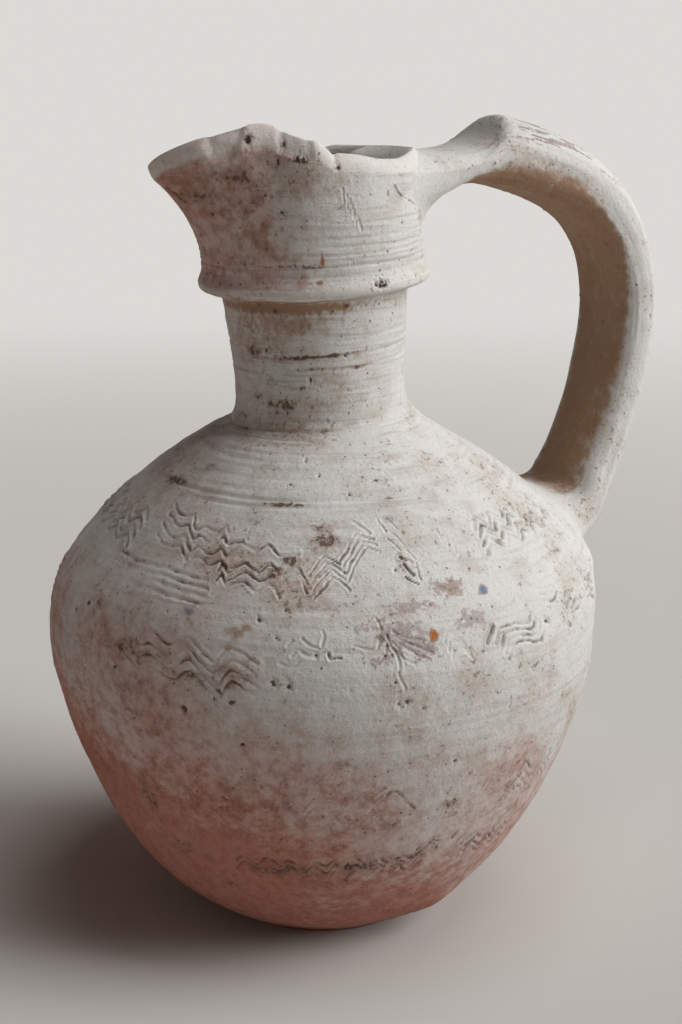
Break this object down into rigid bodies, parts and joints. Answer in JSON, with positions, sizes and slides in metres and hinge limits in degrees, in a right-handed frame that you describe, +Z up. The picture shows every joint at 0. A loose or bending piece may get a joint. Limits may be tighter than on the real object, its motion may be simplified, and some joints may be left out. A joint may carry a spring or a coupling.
{
  "type": "oinochoe",
  "caption": "Unglazed wheel-thrown earthenware wine jug with a round body, narrow neck, flanged collar, pinched spout and a strap handle from rim to shoulder.",
  "frame": {"origin": "centre of the foot's flat underside, on the body's axis", "axes": "+Z up along the body's axis, +X towards the handle, -X towards the spout, +Y across the handle's plane"},
  "size_m": [0.1876, 0.1604, 0.2329],
  "materials": {
    "pale_slip": "matt unglazed earthenware with a pale slip, pitted and stained",
    "worn_clay": "matt bare earthenware with soil in its grooves and pits"
  },
  "bodies": {
    "root": {"base_disc": "worn_clay", "lower_bowl": "worn_clay", "belly_wall": "pale_slip", "shoulder_dome": "pale_slip", "neck_foot_coil": "pale_slip", "neck_tube": "pale_slip", "flange_ring": "pale_slip", "mouth_collar": "pale_slip", "handle_saddle": "pale_slip", "handle_strap": "pale_slip", "handle_foot": "pale_slip"}
  },
  "joints": []
}
